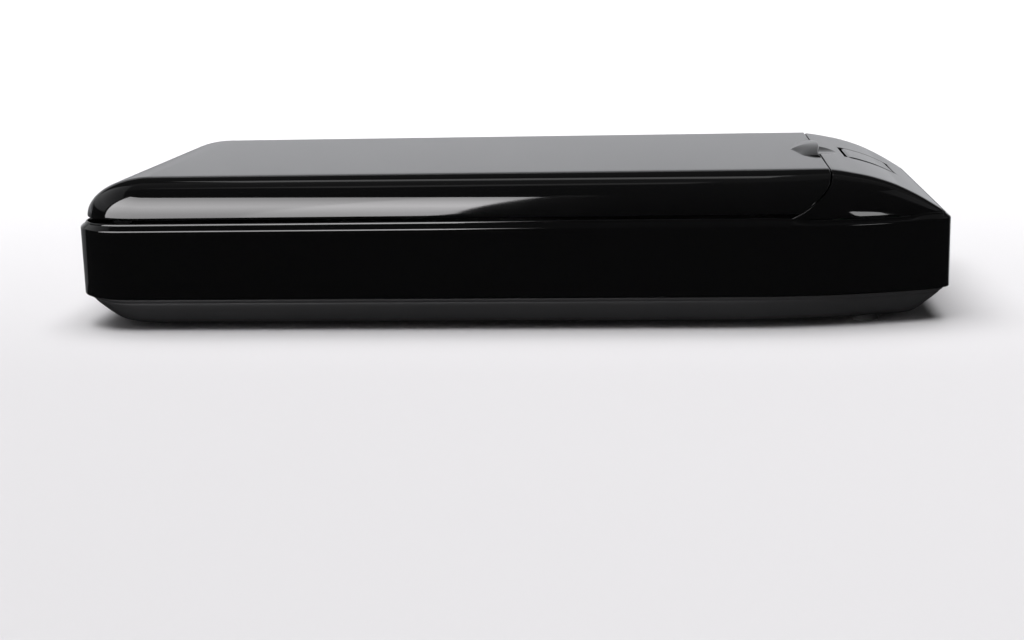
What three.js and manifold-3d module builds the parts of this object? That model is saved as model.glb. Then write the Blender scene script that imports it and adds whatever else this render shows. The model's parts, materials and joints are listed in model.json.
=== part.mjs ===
// UV sanitizer box for phones. Units: millimetres, +Z up.
// Origin: middle of the footprint, on the surface the feet stand on.
// +X runs from the hinge end to the button end, -Y is the front long side.
import * as THREE from 'three';
import { ConvexGeometry } from 'three/addons/geometries/ConvexGeometry.js';
import { mergeVertices } from 'three/addons/utils/BufferGeometryUtils.js';
import Module from 'manifold-3d';

const wasm = await Module();
wasm.setup();

// ---------------------------------------------------------------- driving dimensions
const LENGTH = 265;          // band, end to end
const WIDTH = 131;           // band, front to back
const Z_TOP = 45.4;          // flat top of the lid
const Z_COVER = 45.1;        // top of the control cover at the seam
const FOOT_H = 1.2;          // feet under the bottom shell
const BAND_LO = 9.9;         // bottom edge of the gloss band
const BAND_HI = 30.8;        // where the band's wall turns into the shoulder
const RIM_Z = 32.6;          // top of the shoulder
const RIM_IN = 2.0;          // shoulder inset
const CORNER_R = 17;         // plan corners at the hinge end
const TAPER = [[70, 65.5], [78, 65.35], [86.8, 64.6], [94.2, 63.7], [101.6, 62.4], [109, 60.6],
  [116.7, 58.4], [124.3, 56.0], [128.5, 54.5]];   // band half width towards the button end
const END_R = 4;             // small corner at the button end
const LID_BOTTOM = 33.7;
const LID_GAP = 2.3;         // lid edge inside the band's outline
const ROLL_X = 20;           // lid's rolled edge at the hinge end, along X
const ROLL_Y = 49.2;         // where the long rolled edges start
const LID_WALL = 2.0;
const SEAM_X = 97.25;        // cover side of the seam
const SEAM_GAP = 0.5;
const AXIS = { x: -118, z: 34 };   // hinge axis, along Y
const SWEEP_R = 12.2;        // reach of the lid's rolled end about the axis
const COVER_TOP = [[80, 45.1], [97.25, 45.1], [100, 44.8], [104, 44.05], [108, 43.2], [112, 42.05],
  [116, 40.6], [120, 38.75], [124, 36.6], [128, 34.15], [129.9, 32.95]];
const BUTTON = { x0: 105.8, x1: 121.4, y0: -8.5, y1: 16.7, proud: 0.25, travel: 0.5 };
const TRAY = { x0: -90, x1: 80, y: 52, floor: 13.2, draft: 3, wall: 1.4, rimLo: 30.6, rimHi: 32.1 };
const RACK_Z = [15.8, 18.0];
const USB = { y: 4.5, z0: 19.9, z1: 23.1 };

// ---------------------------------------------------------------- helpers
function solid(geometry) {
  let g = geometry.clone();
  for (const k of Object.keys(g.attributes)) if (k !== 'position') g.deleteAttribute(k);
  if (g.index) g = g.toNonIndexed();
  g = mergeVertices(g, 1e-4);
  const idx = g.index.array, tri = [];
  for (let i = 0; i < idx.length; i += 3) {
    const [a, b, c] = [idx[i], idx[i + 1], idx[i + 2]];
    if (a !== b && b !== c && a !== c) tri.push(a, b, c);
  }
  return new wasm.Manifold(new wasm.Mesh({
    numProp: 3,
    vertProperties: new Float32Array(g.attributes.position.array),
    triVerts: new Uint32Array(tri),
  }));
}

function box(x0, x1, y0, y1, z0, z1) {
  const g = new THREE.BoxGeometry(x1 - x0, y1 - y0, z1 - z0);
  g.translate((x0 + x1) / 2, (y0 + y1) / 2, (z0 + z1) / 2);
  return solid(g);
}
function cylZ(x, y, z0, z1, r, n = 20, r2 = r) {
  const g = new THREE.CylinderGeometry(r2, r, z1 - z0, n);
  g.rotateX(Math.PI / 2);
  g.translate(x, y, (z0 + z1) / 2);
  return solid(g);
}
function cylY(x, z, y0, y1, r, n = 24) {
  const g = new THREE.CylinderGeometry(r, r, y1 - y0, n);
  g.translate(x, (y0 + y1) / 2, z);
  return solid(g);
}
const hull = (pts) => solid(new ConvexGeometry(pts.map((p) => new THREE.Vector3(p[0], p[1], p[2]))));
// outline in plan, pulled up from z0 to z1
function prismZ(pts, z0, z1) {
  const g = new THREE.ExtrudeGeometry(new THREE.Shape(pts.map((p) => new THREE.Vector2(p[0], p[1]))),
    { depth: z1 - z0, bevelEnabled: false });
  g.translate(0, 0, z0);
  return solid(g);
}
// outline in X and Z, pulled along Y from y0 to y1
function prismY(pts, y0, y1) {
  const g = new THREE.ExtrudeGeometry(new THREE.Shape(pts.map((p) => new THREE.Vector2(p[0], p[1]))),
    { depth: y1 - y0, bevelEnabled: false });
  g.rotateX(Math.PI / 2);       // shape's y becomes z, depth becomes -y
  g.translate(0, y1, 0);
  return solid(g);
}
function tube(points, r, steps, n = 8) {
  const curve = new THREE.CatmullRomCurve3(points.map((p) => new THREE.Vector3(...p)), false, 'centripetal');
  const s = new THREE.Shape();
  for (let i = 0; i < n; i++) {
    const a = (i / n) * 2 * Math.PI;
    if (i === 0) s.moveTo(r, 0); else s.lineTo(r * Math.cos(a), r * Math.sin(a));
  }
  return solid(new THREE.ExtrudeGeometry(s, { steps, extrudePath: curve, bevelEnabled: false, curveSegments: 1 }));
}
const add = (...m) => m.reduce((a, b) => a.add(b));
const cut = (a, ...m) => m.reduce((x, b) => x.subtract(b), a);
const lerpTable = (t, x) => {
  if (x <= t[0][0]) return t[0][1];
  for (let i = 1; i < t.length; i++) {
    if (x <= t[i][0]) {
      const [x0, y0] = t[i - 1], [x1, y1] = t[i];
      return y0 + (y1 - y0) * (x - x0) / (x1 - x0);
    }
  }
  return t[t.length - 1][1];
};
const bandY = (x) => lerpTable(TAPER, x);
const topZ = (x) => lerpTable(COVER_TOP, x);

// the band's outline in plan, counter-clockwise from the front left, inset by d
function outline(d = 0, n = 6) {
  const front = [];
  const cx = -LENGTH / 2 + CORNER_R, cy = -WIDTH / 2 + CORNER_R;
  for (let i = 0; i <= n; i++) {
    const a = Math.PI + (i / n) * Math.PI / 2;
    front.push([cx + CORNER_R * Math.cos(a), cy + CORNER_R * Math.sin(a)]);
  }
  for (const [x, y] of TAPER) front.push([x, -y]);
  const ex = LENGTH / 2 - END_R, ey = -50.6;
  for (let i = 0; i <= 2; i++) {
    const a = (-55 + 27.5 * i) * Math.PI / 180;
    front.push([ex + END_R * Math.cos(a), ey + END_R * Math.sin(a) * 0.95]);
  }
  const all = front.concat(front.slice().reverse().map(([x, y]) => [x, -y]));
  if (d === 0) return all;
  const m = all.length;
  return all.map((p, i) => {
    const a = all[(i + m - 1) % m], b = all[(i + 1) % m];
    const e1 = [p[0] - a[0], p[1] - a[1]], e2 = [b[0] - p[0], b[1] - p[1]];
    const l1 = Math.hypot(...e1), l2 = Math.hypot(...e2);
    let nx = -e1[1] / l1 - e2[1] / l2, ny = e1[0] / l1 + e2[0] / l2;   // inward for a counter-clockwise loop
    const l = Math.hypot(nx, ny);
    nx /= l; ny /= l;
    const c = (-e1[1] / l1) * nx + (e1[0] / l1) * ny;
    return [p[0] + nx * d / c, p[1] + ny * d / c];
  });
}
const scaled = (dx, dy) => outline(0).map(([x, y]) => [x * (1 - dx / (LENGTH / 2)), y * (1 - dy / (WIDTH / 2))]);
const at = (pts, z) => pts.map(([x, y]) => [x, y, z]);

const group = new THREE.Group();
const COL = {
  gloss: { color: 0x060607, roughness: 0.12, metalness: 0 },
  matte: { color: 0x1b1b1c, roughness: 0.62, metalness: 0 },
  rubber: { color: 0x101010, roughness: 0.9, metalness: 0 },
  mirror: { color: 0xc9ccd0, roughness: 0.18, metalness: 1 },
  steel: { color: 0x9a9c9f, roughness: 0.32, metalness: 1 },
  rack: { color: 0xd9dcdf, roughness: 0.35, metalness: 0 },
  board: { color: 0x1d4a2c, roughness: 0.5, metalness: 0 },
  ledboard: { color: 0xe6e6e2, roughness: 0.45, metalness: 0 },
  led: { color: 0xe9dfae, roughness: 0.3, metalness: 0 },
  chip: { color: 0x18181a, roughness: 0.55, metalness: 0 },
  copper: { color: 0x5a5a5e, roughness: 0.5, metalness: 0 },
  can: { color: 0xb4b6ba, roughness: 0.3, metalness: 1 },
  ivory: { color: 0xe9e4d4, roughness: 0.5, metalness: 0 },
  magnet: { color: 0xa6a9ad, roughness: 0.25, metalness: 1 },
  cable: { color: 0x202022, roughness: 0.6, metalness: 0 },
};
function put(name, m, look) {
  const mesh = m.getMesh();
  const g = new THREE.BufferGeometry();
  g.setAttribute('position', new THREE.BufferAttribute(new Float32Array(mesh.vertProperties), 3));
  g.setIndex(new THREE.BufferAttribute(new Uint32Array(mesh.triVerts), 1));
  g.computeVertexNormals();
  const out = new THREE.Mesh(g, new THREE.MeshStandardMaterial(COL[look]));
  out.name = name;
  group.add(out);
}

// ---------------------------------------------------------------- lid and cover surfaces
const LEVELS = [0, 15, 32, 50, 68, 90].map((a) => a * Math.PI / 180);
// wall: how far the surface lies inside the lid's outside
function lidHull(wall, xEnd, zLow) {
  const a = ROLL_X - wall, h = Z_TOP - wall - LID_BOTTOM, xt = -LENGTH / 2 + LID_GAP + ROLL_X;
  const pts = [];
  for (const t of LEVELS) {
    const c = Math.cos(t), z = LID_BOTTOM + h * Math.sin(t);
    const lo = zLow < LID_BOTTOM && t === 0 ? [zLow, z] : [z];
    for (const zz of lo) {
      for (const s of [-1, 1]) {
        for (let k = 0; k <= 6; k++) {
          const q = (k / 6) * Math.PI / 2;
          const b = WIDTH / 2 - LID_GAP - wall - ROLL_Y;
          pts.push([xt - a * c * Math.cos(q), s * (ROLL_Y + b * c * Math.sin(q)), zz]);
        }
        for (const x of [70, 80, 88, xEnd]) {
          const b = bandY(x) - LID_GAP - wall - ROLL_Y;
          pts.push([x, s * (ROLL_Y + b * c), zz]);
        }
      }
    }
  }
  return hull(pts);
}
function coverHull(wall, drop, zLow, x0 = 80) {
  const pts = [];
  const xs = COVER_TOP.map((p) => p[0]).filter((x) => x > x0);
  xs.unshift(x0);
  for (const x of xs) {
    const xx = x > 126 ? x - wall * (x - 126) / 4 : x;
    const top = topZ(x) - drop;
    const zb = Math.min(RIM_Z + 0.3, top);
    const yt = Math.min(ROLL_Y, bandY(x) - RIM_IN - 1.5) - wall * 0.4;
    const b = bandY(x) - RIM_IN - 0.25 - wall - yt;
    for (const t of LEVELS) {
      const y = yt + b * Math.cos(t), z = zb + (top - zb) * Math.sin(t);
      for (const s of [-1, 1]) {
        pts.push([xx, s * y, z]);
        if (t === 0) pts.push([xx, s * y, zLow]);
      }
    }
  }
  return hull(pts);
}
const SEAM = [[97.25, 44.6], [96.8, 42.4], [95.65, 40.4], [93.95, 38.4], [91.75, 36.6], [89.25, 35.0],
  [86.65, 33.7], [84.25, 32.7], [81.95, 31.9]];
const seamRegion = (dx, dz) => [[SEAM_X + dx, 60]].concat(SEAM.map(([x, z]) => [x + dx, z + dz]),
  [[81.95 + dx, 20], [140, 20], [140, 60]]);
const rightOf = (dx, dz, y0, y1) => prismY(seamRegion(dx, dz), y0, y1);
function dish(x, z, a, b, c) {
  const g = new THREE.SphereGeometry(1, 28, 18);
  g.scale(a, b, c);
  g.translate(x, 0, z);
  return solid(g);
}
const VISOR = () => dish(100.2, 44.6, 12.2, 24.6, 3.2);         // raised finger lip on the lid
const VISOR_HOLLOW = () => dish(100, 42.8, 11.0, 23.0, 3.2);
const COVER_DISH = () => dish(96, 48.6, 8.0, 12.6, 6.0);
const SIDE = 59.2;      // the lid's rounded lower corners lie outside this half width

// ---------------------------------------------------------------- bottom shell
{
  // inset at the ends, inset at the long sides, height: raked ends, steep sides
  const prof = [[1.4, 0.35, 9.6], [3.6, 0.5, 7.6], [6.2, 1.0, 5.4], [8.5, 2.1, 3.4], [10, 4.0, 2.1], [11.3, 7.0, FOOT_H]];
  const outer = hull(prof.flatMap(([dx, dy, z]) => at(scaled(dx, dy), z)));
  const inner = hull(prof.slice(0, 4).flatMap(([dx, dy, z]) => at(scaled(dx + 2.2, dy + 2.5), z + 1.0))
    .concat(at(scaled(12.5, 6.6), 3.4), at(scaled(3.6, 2.85), 14)));
  let m = cut(outer, inner);
  // locating lip inside the band
  m = m.add(cut(prismZ(outline(2.4), 8.9, 12.2), prismZ(outline(3.3), 6, 13)));
  const stops = [[-114, 30], [-114, -30], [118, 34], [118, -34]];
  for (const [x, y] of stops) m = m.add(cylZ(x, y, 2.2, 10.1, 4.2));
  for (const [x, y] of [[104, 30], [104, -30]]) m = m.add(cylZ(x, y, 2.4, 17.7, 3.2));
  for (const [x, y] of [[122, 12], [122, -12]]) m = m.add(cylZ(x, y, 2.4, 17.7, 2.4, 14));
  for (const x of [-50, 50]) for (const y of [-7, 7]) m = m.add(cylZ(x, y, 2.4, 8.7, 2.4, 14));
  for (const x of [-78, 68]) for (const y of [-40, 40]) m = m.add(cylZ(x, y, 2.4, 11.5, 3, 14));
  for (const [x, y] of stops) m = cut(m, cylZ(x, y, 0, 4.6, 3.1), cylZ(x, y, 0, 12, 1.6, 14));
  for (const [x, y] of [[104, 30], [104, -30]]) m = cut(m, cylZ(x, y, 9, 20, 1.35, 12));
  for (const [x, y] of [[108, 49.8], [108, -49.8], [-108, 49.8], [-108, -49.8]]) m = cut(m, cylZ(x, y, 0, 2.1, 4.5));
  put('bottom_shell', m, 'matte');
}
for (const [name, x, y] of [['foot_front_left', -108, -49.8], ['foot_front_right', 108, -49.8],
  ['foot_rear_left', -108, 49.8], ['foot_rear_right', 108, 49.8]]) {
  put(name, cylZ(x, y, 0, 1.8, 3.9, 20, 4.15), 'rubber');
}

// ---------------------------------------------------------------- gloss band
{
  let m = hull([].concat(at(outline(0), BAND_LO), at(outline(0), BAND_HI), at(outline(RIM_IN), RIM_Z)));
  m = cut(m, prismZ(outline(RIM_IN), 5, 40));
  // ledges that carry the tray
  for (const s of [-1, 1]) m = m.add(box(-92, 78, s > 0 ? 61.6 : -63.8, s > 0 ? 63.8 : -61.6, 28.2, 30.2));
  // screw bosses, each on a rib from the end wall
  for (const y of [-30, 30]) {
    m = m.add(add(cylZ(-114, y, 10.5, 17.2, 3.6), box(-130.8, -114, y - 1, y + 1, 13, 17.2)));
    m = m.add(add(cylZ(118, y * 34 / 30, 10.5, 17.2, 3.6), box(118, 130.8, y * 34 / 30 - 1, y * 34 / 30 + 1, 13, 17.2)));
    m = cut(m, cylZ(-114, y, 10, 16, 1.55, 12), cylZ(118, y * 34 / 30, 10, 16, 1.55, 12));
  }
  // opening for the power inlet
  m = cut(m, box(129, 134, -5.1, 5.1, 19.3, 23.7));
  put('band_housing', m, 'gloss');
}

// ---------------------------------------------------------------- control cover and button
{
  let m = coverHull(0, 0, RIM_Z + 0.3).intersect(rightOf(0, 0, -70, 70));
  const hollow = coverHull(2, 2, 20, 99.4);
  m = cut(m, hollow, box(70, SEAM_X + 0.4, -SIDE - 0.35, SIDE + 0.35, 20, 50));
  // thicker skin under the finger dish
  m = m.add(coverHull(1, 1, 39).intersect(box(98, 103, -14, 14, 40.4, 44)));
  m = cut(m, COVER_DISH());
  m = cut(m, box(BUTTON.x0 - 0.9, BUTTON.x1 + 0.35, BUTTON.y0 - 0.35, BUTTON.y1 + 0.35, 25, 60));
  put('control_cover', m, 'gloss');

  const b = BUTTON;
  const cap = cut(coverHull(0, -b.proud, 30, 97), coverHull(0, 3.4, 20, 97)).intersect(box(b.x0, b.x1, b.y0, b.y1, 30, 50));
  const flange = cut(coverHull(0, 2.4, 30, 97), coverHull(0, 3.4, 20, 97))
    .intersect(box(b.x0 - 1.6, b.x1 + 1.4, b.y0 - 1.6, b.y1 + 1.6, 30, 50));
  const sx = 113.6, sy = (b.y0 + b.y1) / 2;
  const stem = add(cylZ(sx, sy, 25.5, 39.2, 2.4, 16), box(sx - 5, sx + 3.5, sy - 0.7, sy + 0.7, 31, 38));
  put('power_button', add(cap, flange, stem), 'gloss');
  put('switch_plunger', cylZ(sx, sy, 22.4, 25.2, 1.7, 16), 'ivory');
  put('tact_switch', cut(box(sx - 3, sx + 3, sy - 3, sy + 3, 19.9, 23.6), cylZ(sx, sy, 21.4, 25, 2.0, 16)), 'chip');
}

// ---------------------------------------------------------------- chamber tray
{
  const t = TRAY;
  const frustum = (e, zt, zb) => hull([].concat(
    ...[[-1, -1], [1, -1], [1, 1], [-1, 1]].flatMap(([sx, sy]) => [0, 1, 2].map((k) => {
      const r = 7 + e, a = (k / 2) * Math.PI / 2;
      const cx = sx < 0 ? t.x0 - e + r : t.x1 + e - r, cy = t.y + e - r;
      const x = cx + sx * r * Math.cos(a), y = sy * (cy + r * Math.sin(a));
      const d = t.draft;
      return [[x, y, zt], [x - sx * d, y - sy * d, zb]];
    }))));
  let m = prismZ(outline(RIM_IN + 0.4), t.rimLo, t.rimHi).intersect(box(-113.2, 96.8, -70, 70, 20, 40));
  m = m.add(frustum(t.wall, t.rimHi - 0.2, t.floor - 1.3));
  // trough for the lid's rolled end, and the wall that stops the lid
  const trough = cut(cylY(AXIS.x, AXIS.z, -64, 64, SWEEP_R + 2.1, 40), cylY(AXIS.x, AXIS.z, -66, 66, SWEEP_R + 0.7, 40))
    .intersect(box(-140, -112.6, -70, 70, 10, 28.4));
  m = m.add(add(trough, box(-113.2, -111.7, -64, 64, 20.6, 31)).intersect(prismZ(outline(RIM_IN + 0.4), 10, 40)));
  m = cut(m, frustum(0, t.rimHi + 2, t.floor));
  for (const x of [-55, -20, 20, 55]) m = cut(m, box(x - 2.3, x + 2.3, -2.3, 2.3, 10, 16));
  m = cut(m, cylZ(-106, 28, 28, 35, 2.0, 14));
  for (const y of [-51, 51]) m = cut(m, cylZ(-101.5, y, 28, 35, 1.5, 12));
  put('chamber_tray', m, 'mirror');
}
// rack that holds the phone off the tray floor
{
  const [z0, z1] = RACK_Z;
  let m = box(-84, 74, -45, 45, z0, z1);
  for (let i = 0; i < 8; i++) {
    const x0 = -80.5 + i * 19;
    for (const [y0, y1] of [[-41.5, -23], [-20, 20], [23, 41.5]]) m = cut(m, box(x0, x0 + 16.5, y0, y1, z0 - 1, z1 + 1));
  }
  for (const x of [-82.25, 71.75]) for (const y of [-43.25, 43.25]) m = m.add(cylZ(x, y, TRAY.floor + 0.3, z1 - 0.7, 1.2, 12));
  put('phone_rack', m, 'rack');
}

// ---------------------------------------------------------------- UVC boards and LEDs
put('base_uvc_board', box(-64, 84, -10, 10, 9.0, 10.6), 'ledboard');
put('lid_uvc_board', box(-86, 66, -10, 10, 41.5, 42.7), 'ledboard');
[-55, -20, 20, 55].forEach((x, i) => {
  put(`base_uvc_led_${i + 1}`, add(box(x - 1.9, x + 1.9, -1.9, 1.9, 10.9, 12.4), cylZ(x, 0, 12.3, 13.0, 1.3, 12)), 'led');
  put(`lid_uvc_led_${i + 1}`, add(box(x - 1.9, x + 1.9, -1.9, 1.9, 39.9, 41.2), cylZ(x, 0, 39.2, 40, 1.3, 12)), 'led');
});

// ---------------------------------------------------------------- electronics under the cover
put('main_board', cut(box(100, 126, -39, 39, 18, 19.6), cylZ(104, 30, 17, 21, 1.5, 12), cylZ(104, -30, 17, 21, 1.5, 12)), 'board');
put('usb_socket', cut(box(124.4, 131.9, -USB.y, USB.y, USB.z0, USB.z1), box(126, 133, -USB.y + 0.4, USB.y - 0.4, USB.z0 + 0.4, USB.z1 - 0.4))
  .add(box(125.5, 130.8, -3.2, 3.2, USB.z0 + 1.2, USB.z1 - 1.2)), 'steel');
put('driver_chip', box(104.5, 109.5, -9, -3, 19.9, 21.0), 'chip');
put('driver_inductor', cylZ(110, -16, 19.9, 24.2, 3.8, 20), 'copper');
put('filter_capacitor', cylZ(114.5, -27, 19.9, 28.4, 3.4, 20), 'can');
put('cable_connector', box(100.6, 105.4, 4, 16, 19.9, 24.6), 'ivory');
for (const [i, y] of [[1, -30], [2, 30]]) put(`board_screw_${i}`, add(cylZ(104, y, 19.9, 21.4, 2.6, 16), cylZ(104, y, 11, 20.2, 1.1, 12)), 'steel');

// ---------------------------------------------------------------- case screws
[[-114, -30], [-114, 30], [118, -34], [118, 34]].forEach(([x, y], i) => {
  put(`case_screw_${i + 1}`, cut(add(cylZ(x, y, 2.7, 4.3, 2.7, 18), cylZ(x, y, 4.0, 15, 1.25, 12)),
    box(x - 1.5, x + 1.5, y - 0.35, y + 0.35, 2, 3.5), box(x - 0.35, x + 0.35, y - 1.5, y + 1.5, 2, 3.5)), 'steel');
});

// ---------------------------------------------------------------- hinge hardware
for (const [side, s] of [['front', -1], ['rear', 1]]) {
  const yy = (a, b) => (s > 0 ? [a, b] : [-b, -a]);
  const [b0, b1] = yy(48.2, 54);
  const [p0, p1] = yy(46, 56);
  let m = add(cylY(AXIS.x, AXIS.z, b0, b1, 3.6), box(AXIS.x, -105, b0, b1, 32.5, 36.6), box(-110.5, -97, p0, p1, 32.4, 33.7));
  m = cut(m, cylY(AXIS.x, AXIS.z, b0 - 2, b1 + 2, 1.75, 20), cylZ(-101.5, s * 51, 30, 36, 1.6, 12));
  put(`hinge_bracket_${side}`, m, 'steel');
  const [q0, q1] = yy(43.2, 54.3);
  put(`hinge_pin_${side}`, cylY(AXIS.x, AXIS.z, q0, q1, 1.5, 20), 'steel');
  put(`bracket_screw_${side}`, add(cylZ(-101.5, s * 51, 34.0, 35.3, 2.5, 16), cylZ(-101.5, s * 51, 26.5, 34.3, 1.2, 12)), 'steel');
  put(`rest_pad_${side}`, cylZ(86.5, s * 48, 32.4, 33.6, 3.0, 16), 'rubber');
}

// ---------------------------------------------------------------- lid
{
  const end = SEAM_X - SEAM_GAP;
  let m = cut(lidHull(0, end, LID_BOTTOM), lidHull(LID_WALL, end - 1.9, 28));
  // raised finger lip at the free edge, hollow from its open side, over a floor of its own
  m = add(m, VISOR().intersect(box(80, end, -30, 30, 43.7, 50)), box(86.5, 95, -24.5, 24.5, 41.5, 43.9));
  m = cut(m, VISOR_HOLLOW().intersect(box(80, end + 1, -30, 30, 43.4, 50)));
  // bosses for the liner's screws
  for (const x of [-90, 76]) for (const y of [-56, 56]) m = m.add(cylZ(x, y, 35.4, 42.2, 2.9, 14));
  for (const x of [-90, 76]) for (const y of [-56, 56]) m = cut(m, cylZ(x, y, 34, 40.5, 1.35, 12));
  // hinge lugs
  for (const s of [-1, 1]) {
    const y0 = s > 0 ? 43.6 : -47.8, y1 = s > 0 ? 47.8 : -43.6;
    let lug = add(cylY(AXIS.x, AXIS.z, y0, y1, 3.8), box(AXIS.x - 3.8, AXIS.x + 3.8, y0, y1, AXIS.z, 42.2),
      prismY([[AXIS.x + 3.5, 36], [-104, 41.5], [-104, 43.8], [AXIS.x - 2, 43.4]], y0, y1));
    m = m.add(lug.intersect(lidHull(0.6, end, 28)));
    m = cut(m, cylY(AXIS.x, AXIS.z, y0 - 2, y1 + 2, 1.85, 20));
  }
  // seam to the control cover: straight across, rounded lower corners at the sides
  m = cut(m, rightOf(-0.45, 0.3, SIDE, 70), rightOf(-0.45, 0.3, -70, -SIDE));
  put('lid_shell', m, 'gloss');
}
// reflective liner inside the lid
{
  const pan = (e, zt, zb) => hull([].concat(
    ...[[-1, -1], [1, -1], [1, 1], [-1, 1]].flatMap(([sx, sy]) => [0, 1, 2].map((k) => {
      const r = 7 + e, a = (k / 2) * Math.PI / 2;
      const cx = sx < 0 ? -86 - e + r : 78 + e - r, cy = 50 + e - r;
      const x = cx + sx * r * Math.cos(a), y = sy * (cy + r * Math.sin(a));
      return [[x, y, zb], [x - sx * 4, y - sy * 4, zt]];
    }))));
  let m = box(-96, 92, -60.4, 60.4, 33.9, 35.1).intersect(lidHull(2.4, 92, 28));
  m = cut(m, rightOf(-3.2, 2.2, 50, 70), rightOf(-3.2, 2.2, -70, -50));
  m = m.add(pan(1.2, 41.2, 34));
  m = cut(m, pan(0, 40.0, 32.6), pan(0, 40, 33.8));
  for (const x of [-55, -20, 20, 55]) m = cut(m, box(x - 2.3, x + 2.3, -2.3, 2.3, 38, 43));
  for (const x of [-90, 76]) for (const y of [-56, 56]) m = cut(m, cylZ(x, y, 33, 36, 1.5, 12));
  put('lid_liner', m, 'mirror');
  let i = 0;
  for (const x of [-90, 76]) for (const y of [-56, 56]) {
    i += 1;
    put(`liner_screw_${i}`, cut(add(cylZ(x, y, 32.7, 33.6, 2.2, 16), cylZ(x, y, 33.4, 39.5, 1.05, 12)),
      box(x - 1.3, x + 1.3, y - 0.3, y + 0.3, 32, 33.2), box(x - 0.3, x + 0.3, y - 1.3, y + 1.3, 32, 33.2)), 'steel');
  }
}

// ---------------------------------------------------------------- lid interlock
put('lid_magnet', cylZ(87, 34, 35.4, 38.4, 3.0, 18), 'magnet');
put('lid_sensor', box(84.5, 93, 31.8, 36.2, 27.8, 30.3), 'chip');

// ---------------------------------------------------------------- cables, held all the way
put('base_cable', tube([[99.1, 12.6, 22.4], [95.6, 20, 22], [91, 42, 21], [84, 55, 19.5], [72, 58.2, 18.5], [0, 58.2, 18.2],
  [-84, 58.2, 18.5], [-97, 54, 20], [-104, 42, 23], [-106, 31, 26], [-106, 28, 30], [-106, 28, 33.2], [-108.5, 28, 35.3],
  [-113, 28.6, 35.5], [-116.6, 30.2, 34.6], [-118, 33, 34.05], [-118, 36, 34]], 1.1, 76), 'cable');
put('lid_cable', tube([[-118, 36.4, 34], [-118, 38.6, 34.1], [-117.6, 40.4, 35.6], [-116.5, 40.6, 38.4], [-113.5, 39, 41],
  [-108, 34, 41.9], [-100, 20, 42.0], [-93, 8, 42.0], [-87.2, 3, 42.1]], 0.9, 34), 'cable');
put('base_led_cable', tube([[100.2, 7, 21.6], [96.5, 5.5, 20], [94, 4.5, 14], [91, 4, 10.6], [84.5, 3.5, 9.8]], 0.9, 14), 'cable');

export default group;
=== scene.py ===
import json
import math
import random

import bmesh
import bpy
import numpy as np
from mathutils import Matrix, Vector
from mathutils.geometry import delaunay_2d_cdt


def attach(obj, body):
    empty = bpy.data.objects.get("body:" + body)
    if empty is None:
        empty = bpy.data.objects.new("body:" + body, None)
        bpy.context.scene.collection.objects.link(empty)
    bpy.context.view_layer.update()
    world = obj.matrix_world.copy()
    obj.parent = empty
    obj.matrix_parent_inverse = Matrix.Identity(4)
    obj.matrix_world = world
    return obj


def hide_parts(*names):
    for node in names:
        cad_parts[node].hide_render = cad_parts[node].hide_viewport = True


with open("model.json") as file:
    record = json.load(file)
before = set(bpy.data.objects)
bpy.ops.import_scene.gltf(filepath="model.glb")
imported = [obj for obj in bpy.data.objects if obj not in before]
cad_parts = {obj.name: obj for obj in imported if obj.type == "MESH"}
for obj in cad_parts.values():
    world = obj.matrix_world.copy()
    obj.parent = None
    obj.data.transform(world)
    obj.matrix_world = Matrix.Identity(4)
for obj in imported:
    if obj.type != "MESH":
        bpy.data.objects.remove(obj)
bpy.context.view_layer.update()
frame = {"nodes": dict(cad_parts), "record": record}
random.seed(7)
MM = 0.001

# ------------------------------------------------------------------ dimensions, mm, as in the CAD
LENGTH, WIDTH = 265.0, 131.0
Z_TOP = 45.4
BAND_LO, BAND_HI, RIM_Z, RIM_IN = 9.9, 30.8, 32.6, 2.0
CORNER_R = 17.0
TAPER = [(70, 65.5), (78, 65.35), (86.8, 64.6), (94.2, 63.7), (101.6, 62.4), (109, 60.6),
         (116.7, 58.4), (124.3, 56.0), (128.5, 54.5)]
END_R = 4.0
LID_BOTTOM, LID_GAP, ROLL_X, ROLL_Y = 33.7, 2.3, 20.0, 49.2
SEAM_X, SEAM_GAP = 97.25, 0.5
AXIS = (-118.0, 34.0)
COVER_TOP = [(80, 45.1), (97.25, 45.1), (100, 44.8), (104, 44.05), (108, 43.2), (112, 42.05),
             (116, 40.6), (120, 38.75), (124, 36.6), (128, 34.15), (129.9, 32.95)]
SEAM = [(97.25, 45.4), (97.25, 44.6), (96.9, 42.4), (95.8, 40.4), (94.1, 38.4), (92.1, 36.6), (90.05, 35.0),
        (88.05, 33.7), (86.0, 32.7), (83.9, 31.9)]
BTN = dict(x0=105.8, x1=121.4, y0=-8.5, y1=16.7, proud=0.25)
LIP = dict(x=97.6, length=8.9, half=24.0, height=2.15)        # raised finger lip at the lid's free edge
COVER_DISH = (95.6, 7.6, 11.0, 0.95)                          # centre x, half length, half width, depth


def hermite(table):
    """Smooth monotone curve through a table of points."""
    xs = np.array([p[0] for p in table], float)
    ys = np.array([p[1] for p in table], float)
    h = np.diff(xs)
    d = np.diff(ys) / h
    m = np.zeros(len(xs))
    m[0], m[-1] = d[0], d[-1]
    for i in range(1, len(xs) - 1):
        if d[i - 1] * d[i] > 0:
            w1, w2 = 2 * h[i] + h[i - 1], h[i] + 2 * h[i - 1]
            m[i] = (w1 + w2) / (w1 / d[i - 1] + w2 / d[i])

    def f(x):
        x = np.asarray(x, float)
        i = np.clip(np.searchsorted(xs, x) - 1, 0, len(h) - 1)
        t = (x - xs[i]) / h[i]
        t = np.clip(t, 0, 1)
        return ((2 * t**3 - 3 * t**2 + 1) * ys[i] + (t**3 - 2 * t**2 + t) * h[i] * m[i]
                + (-2 * t**3 + 3 * t**2) * ys[i + 1] + (t**3 - t**2) * h[i] * m[i + 1])
    return f


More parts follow.
